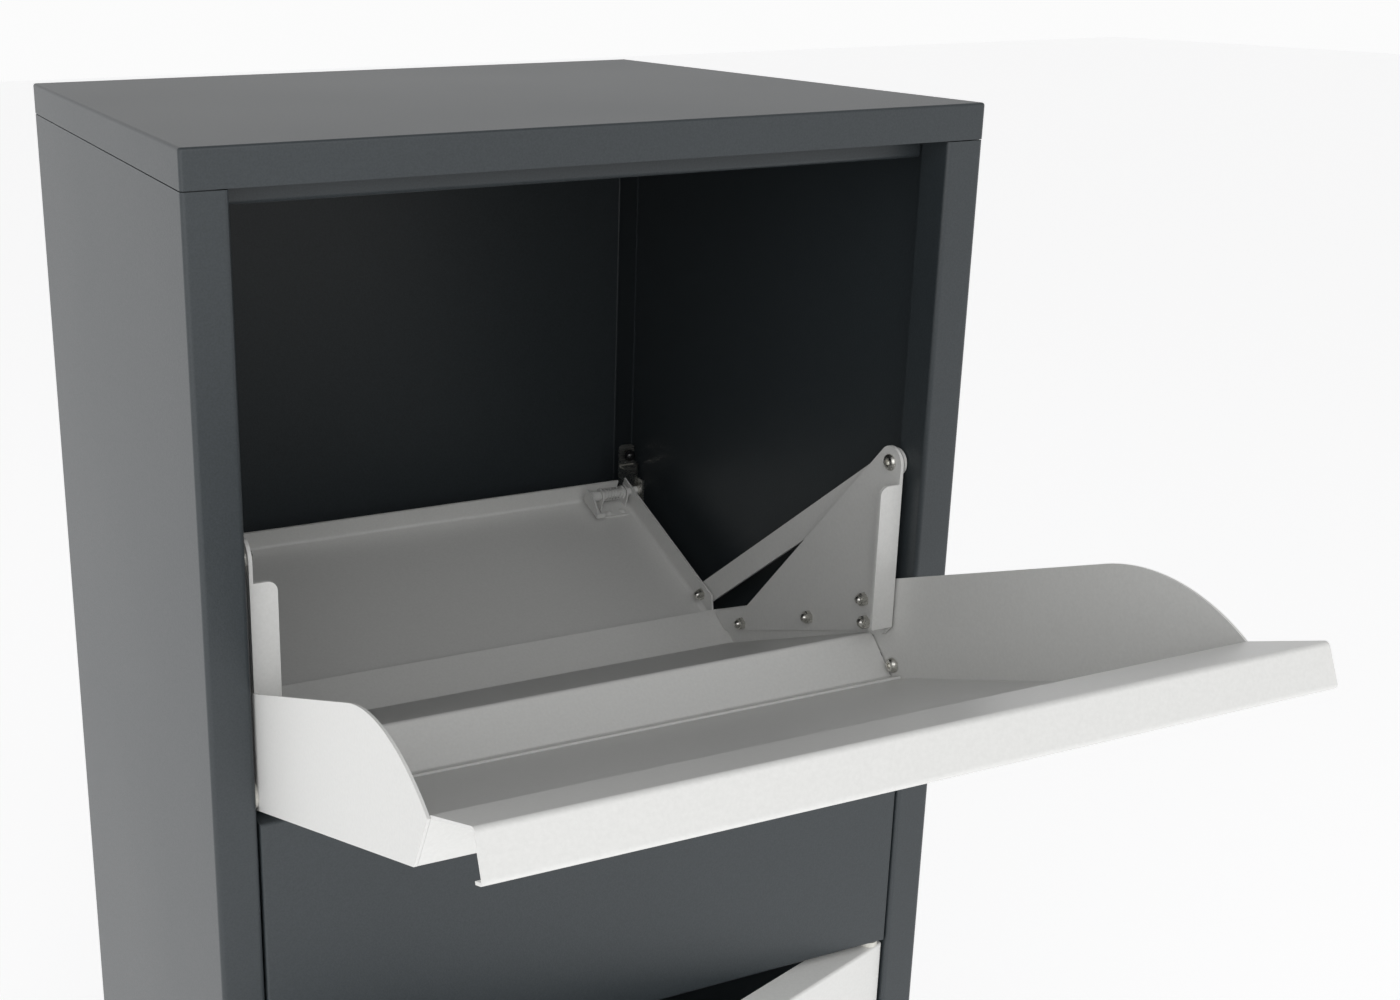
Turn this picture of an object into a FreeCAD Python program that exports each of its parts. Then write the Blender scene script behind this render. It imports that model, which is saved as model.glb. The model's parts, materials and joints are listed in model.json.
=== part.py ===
import FreeCAD, Part
import math
import os
from FreeCAD import Vector

# Parcel drop box: a tall sheet-metal cabinet with a tilting hopper at the top and a locked door below.
# Frame: origin at the middle of the footprint on the floor, +X to the right, +Y to the back, +Z up.
# The hopper is drawn open and the lower door ajar, as the box stands when it is shown in use.

# Cabinet (mm)
width = 410.0
depth = 375.0
height = 1020.0
panelSheet = 1.2
lidRim = 18.0
lidReturn = 15.0
stileWidth = 21.0
stileReturn = 20.0
rearReturn = 18.0
backFlange = 26.0
bendRadius = 1.2
slip = 0.1              # gap left between sheets that lie on each other
panelGap = 1.0          # gap beside the front panels

# Front panels: heights of their lower and upper edges
plinthTop = 40.0
doorBottom = 44.0
doorTop = 544.0
midBottom = 547.0
midTop = 703.0
railBottom = 991.5
railSetBack = 22.0
frontSetBack = 0.5
panelFlange = 13.0

# Hopper
hopperAxisDepth = 9.0   # behind the front plane
hopperAxisDrop = 304.0  # below the lid's top
openAngle = 67.5        # from shut to open
hopperSheet = 1.2
hopperHalf = 181.2      # half width of the tilting sheet work between its cheeks
cheekInner = 181.3
trayHalf = 180.0
gussetInner = 178.2
armInner = 181.7
armSheet = 1.5
armWidth = 15.0

# Pivots of the linkage as (behind, above) the hopper axis, hopper open
gussetPivot = (11.0, 114.0)
bafflePivot = (196.5, -31.5)
baffleHinge = (298.0, 9.0)
baffleFront = (183.0, -45.0)
baffleRear = (311.0, 2.5)
baffleHalf = 179.6
baffleFlange = 15.0

# Lower door
doorHalf = 182.0
doorDepth = 18.0
doorAxisX = 175.5
doorAxisDepth = 5.0
doorAjar = 18.0
lockX = -166.0
lockHeight = 400.0

# Fixings
pinRadius = 3.0
runningFit = 0.05
anchorRadius = 5.5
anchorSpacingX = 280.0
anchorSpacingY = 240.0
wallHoleRadius = 4.5
wallSpacingX = 260.0
wallSpacingZ = 400.0
wallHoleMiddle = 360.0

half = width / 2
front = -depth / 2
back = depth / 2
sheet = panelSheet
axisY = front + hopperAxisDepth
axisZ = height - hopperAxisDrop
rimBottom = height - lidRim
sideTop = rimBottom - 0.5
xDir = Vector(1, 0, 0)
yDir = Vector(0, 1, 0)
zDir = Vector(0, 0, 1)


# ---------- drawing helpers ----------

def roundedFace(corners, place):
    """Face of a polygon given as (p, q, radius) corners, drawn where place(p, q) says."""
    edges = []
    count = len(corners)
    ends = []
    for i in range(count):
        p, q, radius = corners[i]
        here = Vector(p, q, 0)
        before = Vector(corners[i - 1][0], corners[i - 1][1], 0)
        after = Vector(corners[(i + 1) % count][0], corners[(i + 1) % count][1], 0)
        toBefore = (before - here).normalize()
        toAfter = (after - here).normalize()
        angle = toBefore.getAngle(toAfter)
        if radius < 0.01 or angle > math.pi - 0.001:
            ends.append((here, None, here))
            continue
        reach = radius / math.tan(angle / 2)
        centre = here + (toBefore + toAfter).normalize() * (radius / math.sin(angle / 2))
        start = here + toBefore * reach
        stop = here + toAfter * reach
        middle = centre + (here - centre).normalize() * radius
        ends.append((start, middle, stop))
    for i in range(count):
        start, middle, stop = ends[i]
        if middle is not None:
            arc = Part.Arc(place(start.x, start.y), place(middle.x, middle.y), place(stop.x, stop.y))
            edges.append(arc.toShape())
        following = ends[(i + 1) % count][0]
        if (following - stop).Length > 1e-6:
            edges.append(Part.LineSegment(place(stop.x, stop.y), place(following.x, following.y)).toShape())
    return Part.Face(Part.Wire(edges))


def sheetCorners(points, thickness, radius):
    """Outline of a bent sheet: points run along its left face, and the metal lies to their right."""
    last = len(points) - 1
    normals = []
    for i in range(last):
        dp = points[i + 1][0] - points[i][0]
        dq = points[i + 1][1] - points[i][1]
        run = math.hypot(dp, dq)
        normals.append((dq / run, -dp / run))
    left = []
    right = []
    for i in range(last + 1):
        p, q = points[i][0], points[i][1]
        a = normals[max(i - 1, 0)]
        b = normals[min(i, last - 1)]
        scale = thickness / (1 + a[0] * b[0] + a[1] * b[1])
        turn = a[0] * b[1] - a[1] * b[0]
        bend = radius if 0 < i < last else 0
        inside = bend
        outside = bend + thickness if bend else 0
        left.append((p, q, inside if turn > 0 else outside))
        right.append((p + (a[0] + b[0]) * scale, q + (a[1] + b[1]) * scale, outside if turn > 0 else inside))
    return left + right[::-1]


def bentAlongX(points, thickness, radius, x0, x1, place):
    face = roundedFace(sheetCorners(points, thickness, radius), lambda p, q: place(x0, p, q))
    return face.extrude(Vector(x1 - x0, 0, 0))


def bentAlongZ(points, thickness, radius, z0, z1):
    face = roundedFace(sheetCorners(points, thickness, radius), lambda p, q: Vector(p, q, z0))
    return face.extrude(Vector(0, 0, z1 - z0))


def plateX(corners, x0, thickness, place):
    return roundedFace(corners, lambda p, q: place(x0, p, q)).extrude(Vector(thickness, 0, 0))


def boxBetween(x0, x1, y0, y1, z0, z1):
    return Part.makeBox(x1 - x0, y1 - y0, z1 - z0, Vector(x0, y0, z0))


def rod(radius, start, stop):
    """Round bar from one point to another."""
    along = stop - start
    return Part.makeCylinder(radius, along.Length, start, along)


def mirrored(shape):
    return shape.mirror(Vector(0, 0, 0), xDir)


def joined(shapes):
    result = shapes[0]
    for shape in shapes[1:]:
        result = result.fuse(shape)
    return result.removeSplitter()


def group(shapes):
    return Part.makeCompound(shapes)


def straight(x, y, z):
    return Vector(x, y, z)


def fromAxis(x, behind, above):
    """Place measured from the hopper axis, hopper open."""
    return Vector(x, axisY + behind, axisZ + above)


def shutHopper(x, inward, above):
    """Place measured from the front plane and the hopper axis, hopper shut."""
    return Vector(x, front + inward, axisZ + above)


def swungOpen(shape):
    turned = shape.copy()
    turned.rotate(Vector(0, axisY, axisZ), xDir, openAngle)
    return turned


def export(name, shape):
    shape.exportStep("parts/" + name + ".step")


# ---------- cabinet ----------

def sidePanel():
    """Right side panel with its front stile, rear return and a top flange that carries the lid."""
    plan = [
        (half - rearReturn, back),
        (half, back),
        (half, front),
        (half - stileWidth, front),
        (half - stileWidth, front + stileReturn),
    ]
    wall = bentAlongZ(plan, sheet, bendRadius, 0, sideTop)
    flangeEnd = back - sheet - 0.5
    flange = boxBetween(half - 20, half - 0.3, front + 30, flangeEnd, sideTop - sheet, sideTop)
    panel = joined([wall, flange])
    pivot = fromAxis(half - stileWidth - 5, 0, 0)
    hole = rod(pinRadius, pivot, pivot + xDir * 12)
    return panel.cut(hole)


def lid():
    """Lid pan: flat top, rim on all four sides, and returns that rest on the side panels."""
    outer = boxBetween(-half, half, front, back, rimBottom, height)
    upright = [e for e in outer.Edges if abs(e.tangentAt(e.FirstParameter).z) > 0.9]
    outer = outer.makeFillet(2.0, upright)
    top = [e for e in outer.Edges if e.BoundBox.ZMin > height - 0.01]
    outer = outer.makeFillet(1.5, top)
    room = boxBetween(-half + sheet, half - sheet, front + sheet, back - sheet, rimBottom + sheet, height - sheet)
    mouth = boxBetween(-half + lidReturn, half - lidReturn, front + sheet, back - lidReturn,
                       rimBottom - 1, rimBottom + 2 * sheet)
    return outer.cut(room).cut(mouth)


def topRail():
    """Set-back rail under the lid, a channel open to the rear."""
    inner = half - stileWidth
    section = [
        (front + railSetBack + 14, railBottom),
        (front + railSetBack, railBottom),
        (front + railSetBack, rimBottom + 4),
        (front + railSetBack + 6, rimBottom + 4),
    ]
    return bentAlongX(section, sheet, 1.0, -inner, inner, straight)


def frontPan(z0, z1, halfWidth, flange, setBack):
    """Front panel: a face with flanges turned back on its four sides."""
    outer = boxBetween(-halfWidth, halfWidth, front + setBack, front + setBack + flange, z0, z1)
    edges = [e for e in outer.Edges if e.BoundBox.YMax < front + setBack + 0.01]
    outer = outer.makeFillet(1.5, edges)
    room = boxBetween(-halfWidth + sheet, halfWidth - sheet, front + setBack + sheet,
                      front + setBack + flange + 1, z0 + sheet, z1 - sheet)
    return outer.cut(room)


def midPanel():
    panel = frontPan(midBottom, midTop, half - stileWidth - panelGap, panelFlange, frontSetBack)
    pin = Vector(doorAxisX, front + doorAxisDepth, midBottom - 2)
    return panel.cut(rod(pinRadius, pin, pin + zDir * 6))


def plinth():
    panel = frontPan(4.0, plinthTop, half - stileWidth - panelGap, panelFlange, frontSetBack)
    pin = Vector(doorAxisX, front + doorAxisDepth, plinthTop - 6)
    return panel.cut(rod(pinRadius, pin, pin + zDir * 10))


def basePan():
    """Floor pan with upturned edges and the four anchor holes."""
    wide = half - sheet - slip
    near = front + 24
    far = back - sheet - slip
    outer = boxBetween(-wide, wide, near, far, 0, 30)
    upright = [e for e in outer.Edges if abs(e.tangentAt(e.FirstParameter).z) > 0.9]
    outer = outer.makeFillet(2.0, upright)
    lower = [e for e in outer.Edges if e.BoundBox.ZMax < 0.01]
    outer = outer.makeFillet(1.5, lower)
    pan = outer.cut(boxBetween(-wide + sheet, wide - sheet, near + sheet, far - sheet, sheet, 40))
    for sx in (-0.5, 0.5):
        for sy in (-0.5, 0.5):
            foot = Vector(sx * anchorSpacingX, sy * anchorSpacingY, -1)
            pan = pan.cut(rod(anchorRadius, foot, foot + zDir * 4))
    return pan


def backPanel():
    """Back panel with long flanges along the side panels, an upstand under the lid, and four wall holes."""
    wide = half - sheet - slip
    face = back - sheet - 2 * slip
    low = 30.0 + slip
    high = sideTop - sheet - 1
    plan = [
        (-wide, face - backFlange),
        (-wide, face),
        (wide, face),
        (wide, face - backFlange),
    ]
    upstand = boxBetween(-half + 20.5, half - 20.5, face - sheet, face, high - 1, rimBottom - slip)
    panel = joined([bentAlongZ(plan, sheet, bendRadius, low, high), upstand])
    for sx in (-0.5, 0.5):
        for sz in (-0.5, 0.5):
            hole = Vector(sx * wallSpacingX, back - 6, wallHoleMiddle + sz * wallSpacingZ)
            panel = panel.cut(rod(wallHoleRadius, hole, hole + yDir * 12))
    return panel


# ---------- hopper ----------

def hopperFront():
    """Outer skin, grip recess and lip, drawn shut and then swung open."""
    section = [(0.5, -7), (0.5, 222), (19, 244), (19, 282.5), (2.5, 282.5), (2.5, 277)]
    return swungOpen(bentAlongX(section, hopperSheet, 1.0, -hopperHalf, hopperHalf, shutHopper))


def cheek():
    """Right cheek: closes the hopper's end, with a curved top towards the lip."""
    bulge = 88.6
    foot = 172.0
    rearEdge = 56.0
    centre = rearEdge - bulge
    spread = math.asin((244.0 - foot) / bulge)

    def onArc(part):
        return Vector(cheekInner, front + centre + bulge * math.cos(part * spread),
                      axisZ + foot + bulge * math.sin(part * spread))

    tip = onArc(1)
    rear = onArc(0)
    body = plateX([(0.5, -7, 0), (0.5, 222, 1), (tip.y - front, tip.z - axisZ, 0), (rearEdge, foot, 0),
                   (rearEdge, -22, 10), (30, -42, 8), (16, -9, 3)], cheekInner, hopperSheet, shutHopper)
    crown = Part.Face(Part.Wire([Part.Arc(rear, onArc(0.5), tip).toShape(), Part.LineSegment(tip, rear).toShape()]))
    plate = joined([body, crown.extrude(xDir * hopperSheet)])
    pivot = shutHopper(cheekInner - 5, hopperAxisDepth, 0)
    plate = swungOpen(plate.cut(rod(pinRadius + runningFit, pivot, pivot + xDir * 10)))
    for behind, above in gussetBolts()[2:]:
        plate = plate.cut(screwHole(behind, above, cheekInner))
    return plate


def floorAbove(behind):
    """Height of the tray's floor above the axis, hopper open."""
    return 12.0 - 0.4526 * (behind - 20.0)


def gussetBolts():
    return [(145.0, floorAbove(145.0) + 12.8), (75.0, floorAbove(75.0) + 12.8), (25.0, 30.0), (22.0, 17.5)]


def screwHole(behind, above, x):
    start = fromAxis(x - 4, behind, above)
    return rod(2.0, start, start + xDir * 10)


def hopperTray():
    """Tray behind the axis: ridge, sloping floor, rear lip and upturned sides."""
    across = Vector(0, math.cos(math.radians(openAngle)), math.sin(math.radians(openAngle)))
    along = Vector(0, -across.z, across.y)
    lapFront = across * -6.0 + along * 6.0
    lapRear = across * -6.0 + along * -3.0
    lipEnd = (180.0, -36.0)
    section = [(lapFront.y, lapFront.z), (lapRear.y, lapRear.z), (20.0, 12.0),
               (157.0, floorAbove(157.0)), lipEnd]
    floor = bentAlongX(section, hopperSheet, 1.5, -trayHalf - 0.5, trayHalf + 0.5, fromAxis)
    corners = [(12, 41, 5), (12, 14, 3), (20, 10.8, 1), (157.3, floorAbove(157.3) - 1.3, 2), (184, -38, 2)]
    side = plateX(corners, trayHalf, hopperSheet, fromAxis)
    tray = joined([floor, side, mirrored(side)])
    for behind, above in gussetBolts():
        hole = screwHole(behind, above, trayHalf)
        tray = tray.cut(hole).cut(mirrored(hole))
    return tray


def gusset():
    """Right gusset: triangular plate with a turned front flange, bolted to the tray's side."""
    thickness = trayHalf - gussetInner
    corners = [(2, 137.6, 9), (143, -20.6, 4), (178.5, -36.1, 1.5), (165, -44.5, 2),
               (20, 13.2, 3), (8, 15.5, 3), (2, 22, 2)]
    plate = plateX(corners, gussetInner, thickness, fromAxis)
    flangeOutline = [(gussetInner - 11.5, 22, 1), (gussetInner + 1, 22, 0), (gussetInner + 1, 104, 0),
                     (gussetInner - 11.5, 104, 5)]
    flange = roundedFace(flangeOutline, lambda p, q: fromAxis(p, 2, q)).extrude(yDir * thickness)
    plate = joined([plate, flange])
    pivot = fromAxis(gussetInner - 2, *gussetPivot)
    plate = plate.cut(rod(pinRadius, pivot, pivot + xDir * 8))
    for behind, above in gussetBolts():
        plate = plate.cut(screwHole(behind, above, gussetInner))
    return plate


def acornNut(base, towards):
    """Domed hexagon nut seated at base and pointing along towards."""
    across = 4.04
    facing = FreeCAD.Rotation(zDir, towards)
    points = [Vector(across * math.cos(math.radians(60 * i)), across * math.sin(math.radians(60 * i)), 0)
              for i in range(7)]
    prism = Part.Face(Part.makePolygon(points)).extrude(zDir * 3.0)
    collar = Part.makeCylinder(3.4, 1.0, Vector(0, 0, 2.6))
    dome = Part.makeSphere(2.6, Vector(0, 0, 3.4))
    upper = dome.common(Part.makeBox(12, 12, 12, Vector(-6, -6, 2)))
    nut = joined([prism, collar, upper])
    nut.Placement = FreeCAD.Placement(base, facing)
    return nut


def roundHead(base, towards, radius, rise):
    """Low domed screw head seated at base."""
    sphere = (radius * radius + rise * rise) / (2 * rise)
    ball = Part.makeSphere(sphere, Vector(0, 0, rise - sphere))
    cap = ball.common(Part.makeCylinder(radius + 1, rise + 1, Vector(0, 0, 0)))
    cap.Placement = FreeCAD.Placement(base, FreeCAD.Rotation(zDir, towards))
    return cap


def gussetScrews():
    """Screws through gusset and tray side, with domed heads outside."""
    screws = []
    for index, (behind, above) in enumerate(gussetBolts()):
        outer = cheekInner + hopperSheet if index > 1 else trayHalf + hopperSheet
        start = fromAxis(gussetInner, behind, above)
        stop = fromAxis(outer, behind, above)
        rise = 1.0 if index > 1 else 1.6
        screws.append(joined([rod(2.0, start, stop), roundHead(stop, xDir, 3.6, rise)]))
    return group(screws + [mirrored(s) for s in screws])


def gussetNuts():
    nuts = [acornNut(fromAxis(gussetInner, behind, above), xDir * -1) for behind, above in gussetBolts()]
    return group(nuts + [mirrored(n) for n in nuts])


def armPivots():
    """Shoulder screws on the gussets that carry the link arms, with a spacer behind each arm."""
    inner = fromAxis(gussetInner, *gussetPivot)
    outer = fromAxis(armInner + armSheet, *gussetPivot)
    spacer = rod(6.0, fromAxis(trayHalf, *gussetPivot), fromAxis(armInner - slip, *gussetPivot))
    screw = joined([rod(pinRadius, inner, outer), spacer, roundHead(inner, xDir * -1, 4.6, 2.0),
                    rod(5.0, outer + xDir * slip, outer + xDir * 0.6), rod(pinRadius, outer, outer + xDir * 0.5)])
    return group([screw, mirrored(screw)])


# ---------- link arms ----------

def linkArm():
    """Right link arm: flat bar from the gusset pivot to the baffle's front corner."""
    upper = fromAxis(armInner, *gussetPivot)
    lower = fromAxis(armInner, *bafflePivot)
    along = lower - upper
    side = along.cross(xDir).normalize() * (armWidth / 2)
    edges = [
        Part.LineSegment(upper + side, lower + side).toShape(),
        Part.Arc(lower + side, lower + along.normalize() * (armWidth / 2), lower - side).toShape(),
        Part.LineSegment(lower - side, upper - side).toShape(),
        Part.Arc(upper - side, upper - along.normalize() * (armWidth / 2), upper + side).toShape(),
    ]
    bar = Part.Face(Part.Wire(edges)).extrude(xDir * armSheet)
    bar = bar.cut(rod(pinRadius + runningFit, upper - xDir, upper + xDir * 4))
    return bar.cut(rod(pinRadius, lower - xDir, lower + xDir * 4))


def armRivet():
    start = fromAxis(armInner, *bafflePivot)
    stop = start + xDir * armSheet
    return joined([rod(pinRadius, start, stop), rod(5.0, stop, stop + xDir * 0.6)])


# ---------- baffle ----------

baffleRun = Vector(0, baffleRear[0] - baffleFront[0], baffleRear[1] - baffleFront[1])
baffleLength = baffleRun.Length
baffleTilt = math.degrees(math.atan2(baffleRun.z, baffleRun.y))


def onBaffle(x, along, above):
    """Place on the baffle, measured back from its front edge and up from its face."""
    tilt = math.radians(baffleTilt)
    behind = baffleFront[0] + along * math.cos(tilt) - above * math.sin(tilt)
    up = baffleFront[1] + along * math.sin(tilt) + above * math.cos(tilt)
    return fromAxis(x, behind, up)


def baffleCoordinates(place):
    """The reverse: how far along and above the baffle a point behind and above the axis lies."""
    tilt = math.radians(baffleTilt)
    behind = place[0] - baffleFront[0]
    up = place[1] - baffleFront[1]
    return behind * math.cos(tilt) + up * math.sin(tilt), up * math.cos(tilt) - behind * math.sin(tilt)


def baffle():
    """Trap that closes off the compartment below: a pan with upturned sides and rear."""
    section = [(-baffleHalf, baffleFlange), (-baffleHalf, 0), (baffleHalf, 0), (baffleHalf, baffleFlange)]
    face = roundedFace(sheetCorners(section, hopperSheet, 3.0), lambda p, q: onBaffle(p, 0, q))
    run = onBaffle(0, baffleLength, 0) - onBaffle(0, 0, 0)
    pan = face.extrude(run)
    rearLine = [(baffleLength - 20, 0), (baffleLength - hopperSheet, 0), (baffleLength - hopperSheet, 14)]
    rearWide = baffleHalf - 5
    rear = bentAlongX(rearLine, hopperSheet, 2.0, -rearWide, rearWide, onBaffle)
    hemLine = [(0, -6), (0, 0), (20, 0)]
    hem = bentAlongX(hemLine, hopperSheet, 1.0, -rearWide, rearWide, onBaffle)
    trap = joined([pan, rear, hem])
    corner = [(-8, 2, 0), (0, 2, 0), (9, 17, 0), (-8, 17, 0)]
    trap = trap.cut(plateX(corners=corner, x0=-half, thickness=width, place=onBaffle))
    for place, radius in ((bafflePivot, 2.5), (baffleHinge, pinRadius + runningFit)):
        start = fromAxis(baffleHalf - 3, *place)
        hole = rod(radius, start, start + xDir * 8)
        trap = trap.cut(hole).cut(mirrored(hole))
    return trap


def baffleStuds():
    """Screws at the baffle's front corners, which the link arms turn on."""
    start = fromAxis(baffleHalf, *bafflePivot)
    stop = fromAxis(baffleHalf + hopperSheet, *bafflePivot)
    stud = joined([rod(2.5, start, stop), rod(4.2, stop, stop + xDir * 0.4)])
    return group([stud, mirrored(stud)])


def baffleNuts():
    nut = acornNut(fromAxis(baffleHalf, *bafflePivot), xDir * -1)
    return group([nut, mirrored(nut)])


def boltHousing():
    """Right spring-bolt housing: a foot on the baffle and two ears that guide the bolt."""
    along, above = baffleCoordinates(baffleHinge)
    inner = 156.0
    outer = 176.4
    foot = roundedFace([(inner, along - 13, 2), (outer, along - 13, 2), (outer, along + 5, 0), (inner, along + 5, 0)],
                       lambda p, q: onBaffle(p, q, slip)).extrude(onBaffle(0, 0, 1.2) - onBaffle(0, 0, 0))
    ears = []
    for x in (inner, outer - 1.2):
        ear = roundedFace([(along - 5, slip, 0), (along + 5, slip, 0), (along + 5, above + 4.5, 4),
                           (along - 5, above + 4.5, 4)], lambda p, q: onBaffle(x, p, q))
        ears.append(ear.extrude(xDir * 1.2))
    bore = rod(pinRadius + runningFit, fromAxis(inner - 2, *baffleHinge), fromAxis(outer + 2, *baffleHinge))
    return joined([foot] + ears).cut(bore)


def housingRivets():
    along = baffleCoordinates(baffleHinge)[0]
    rivets = []
    for x in (161.0, 171.5):
        base = onBaffle(x, along - 9, slip + 1.2)
        up = onBaffle(0, 0, 1) - onBaffle(0, 0, 0)
        rivets.append(roundHead(base, up, 2.4, 1.2))
    return group(rivets + [mirrored(r) for r in rivets])


def boltRod():
    """Right spring bolt: a turned rod with a knob at its inner end and a collar that the spring pushes."""
    profile = [(148.2, 0, 0), (148.2, 3.8, 1.8), (155.4, 3.8, 1.2), (155.4, pinRadius, 0), (172.6, pinRadius, 0),
               (172.6, 4.8, 0.3), (174.2, 4.8, 0.3), (174.2, pinRadius, 0), (187.5, pinRadius, 0.8), (187.5, 0, 0)]
    halfSection = roundedFace(profile, lambda p, q: fromAxis(p, baffleHinge[0], baffleHinge[1] + q))
    return halfSection.revolve(fromAxis(0, *baffleHinge), xDir, 360)


def boltLever():
    """Finger lever of the bolt, bent over the housing's foot and held behind the knob."""
    along, above = baffleCoordinates(baffleHinge)
    outline = [(along - 17, above - 6, 1), (along + 4.6, above - 6, 1), (along + 4.6, above + 4.6, 3),
               (along - 6, above + 4.6, 3), (along - 17, above - 2, 2)]
    arm = roundedFace(outline, lambda p, q: onBaffle(146.9, p, q)).extrude(xDir * 1.2)
    toe = roundedFace([(146.9, above - 6, 0), (153.5, above - 6, 1.5), (153.5, above - 2, 1.5), (146.9, above - 2, 0)],
                      lambda p, q: onBaffle(p, along - 17, q)).extrude(onBaffle(0, 1.2, 0) - onBaffle(0, 0, 0))
    return joined([arm, toe])


def boltSpring():
    """Coil spring between the inner ear and the bolt's collar, its wire bent in short straight steps."""
    coilRadius = 4.2
    wireRadius = 0.4
    length = 14.2
    turns = 6
    steps = 12
    points = []
    for i in range(turns * steps + 1):
        angle = 2 * math.pi * i / steps
        points.append(Vector(coilRadius * math.cos(angle), coilRadius * math.sin(angle), length * i / turns / steps))
    profile = Part.Wire(Part.makeCircle(wireRadius, points[0], points[1] - points[0]))
    spring = Part.makePolygon(points).makePipeShell([profile], True, False, 1)
    spring.Placement = FreeCAD.Placement(fromAxis(157.8, *baffleHinge), FreeCAD.Rotation(zDir, xDir))
    return spring


def hingeBracket():
    """Right zinc bracket on the cabinet that takes the bolt's tip."""
    y0 = axisY + baffleHinge[0] - 9
    y1 = axisY + 326
    wall = half - sheet - slip - sheet - slip
    low = axisZ + baffleHinge[1] - 9
    plan = [(185.0, y0), (185.0, y1), (wall - 1.5, y1), (wall - 1.5, y1 + 22)]
    hat = bentAlongZ(plan, 1.5, 1.5, low, low + 19)
    tab = boxBetween(186.5, wall - 4, y1, y1 + 1.5, low + 10, axisZ + 34)
    tab = tab.makeFillet(3.0, [e for e in tab.Edges if e.BoundBox.ZMin > axisZ + 33.9 and e.BoundBox.XLength < 0.01])
    bracket = joined([hat, tab])
    bore = rod(pinRadius + runningFit, fromAxis(180, *baffleHinge), fromAxis(190, *baffleHinge))
    return bracket.cut(bore)


def bracketCaps():
    """Black caps over the brackets' fixing screws."""
    cap = roundHead(Vector(194.0, axisY + 326 - 1.6, axisZ + 26), yDir * -1, 4.2, 3.4)
    return group([cap, mirrored(cap)])


# ---------- hopper hinge ----------

def hopperPivots():
    """Pivot screws held in the stiles' returns; the cheeks turn on them."""
    inner = cheekInner - 0.4
    nutFace = half - stileWidth + sheet
    screw = joined([rod(pinRadius, fromAxis(inner, 0, 0), fromAxis(nutFace + 4.5, 0, 0)),
                    rod(4.6, fromAxis(inner - 1.0, 0, 0), fromAxis(inner, 0, 0)),
                    roundHead(fromAxis(inner - 1.0, 0, 0), xDir * -1, 4.2, 2.0)])
    return group([screw, mirrored(screw)])


def pivotNuts():
    start = half - stileWidth + sheet
    ring = rod(5.5, fromAxis(start, 0, 0), fromAxis(start + 3.5, 0, 0))
    ring = ring.cut(rod(pinRadius, fromAxis(start - 1, 0, 0), fromAxis(start + 6, 0, 0)))
    return group([ring, mirrored(ring)])


def pivotWashers():
    start = cheekInner + hopperSheet + slip
    ring = rod(7.0, fromAxis(start, 0, 0), fromAxis(half - stileWidth, 0, 0))
    ring = ring.cut(rod(pinRadius, fromAxis(start - 1, 0, 0), fromAxis(start + 6, 0, 0)))
    return group([ring, mirrored(ring)])


# ---------- lower door ----------

def ajar(shape):
    turned = shape.copy()
    turned.rotate(Vector(doorAxisX, front + doorAxisDepth, 0), zDir, doorAjar)
    return turned


def lowerDoor():
    door = frontPan(doorBottom, doorTop, doorHalf, doorDepth, frontSetBack)
    axis = Vector(doorAxisX, front + doorAxisDepth, doorBottom - 2)
    door = door.cut(rod(pinRadius + runningFit, axis, axis + zDir * 600))
    lock = Vector(lockX, front - 5, lockHeight)
    return ajar(door.cut(rod(9.0, lock, lock + yDir * 12)))


def doorStiffener():
    """Hat channel behind the door's face."""
    inner = front + frontSetBack + sheet + slip
    plan = [(-34, inner + sheet), (-20, inner + sheet), (-20, inner + 13), (20, inner + 13), (20, inner + sheet),
            (34, inner + sheet)]
    channel = bentAlongZ(plan, sheet, 1.0, doorBottom + 12, doorTop - 12)
    return ajar(channel)


def doorPins():
    top = Vector(doorAxisX, front + doorAxisDepth, doorTop - 8)
    low = Vector(doorAxisX, front + doorAxisDepth, plinthTop - 6)
    upper = rod(pinRadius, top, top + zDir * (midBottom + 5 - top.z))
    lower = rod(pinRadius, low, low + zDir * (doorBottom + 8 - low.z))
    return group([upper, lower])


def doorWashers():
    rings = []
    for z0, z1 in ((doorTop + slip, midBottom), (plinthTop, doorBottom - slip)):
        base = Vector(doorAxisX, front + doorAxisDepth + 1.2, z0)
        pin = Vector(doorAxisX, front + doorAxisDepth, z0 - 1)
        ring = rod(5.4, base, base + zDir * (z1 - z0)).cut(rod(pinRadius, pin, pin + zDir * 8))
        rings.append(ring)
    return group(rings)


def lockAt(inward):
    return Vector(lockX, front + inward, lockHeight)


def lockBarrel():
    head = rod(11.5, lockAt(-1.6), lockAt(frontSetBack))
    body = rod(9.0, lockAt(-1.6), lockAt(19.0))
    barrel = joined([head, body]).cut(rod(6.0 + runningFit, lockAt(-3), lockAt(20)))
    return ajar(barrel)


def lockNut():
    """Hexagon nut that clamps the lock to the door."""
    points = [lockAt(frontSetBack + sheet) + Vector(13 * math.cos(math.radians(60 * i)), 0,
                                                    13 * math.sin(math.radians(60 * i))) for i in range(7)]
    nut = Part.Face(Part.makePolygon(points)).extrude(yDir * 4)
    return ajar(nut.cut(rod(9.0, lockAt(0), lockAt(8))))


def lockPlug():
    """Turning core of the lock with its keyway."""
    core = rod(6.0, lockAt(-1.4), lockAt(20.6))
    keyway = boxBetween(lockX - 0.8, lockX + 0.8, front - 3, front + 8, lockHeight - 3.6, lockHeight + 3.6)
    return ajar(core.cut(keyway))


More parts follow.
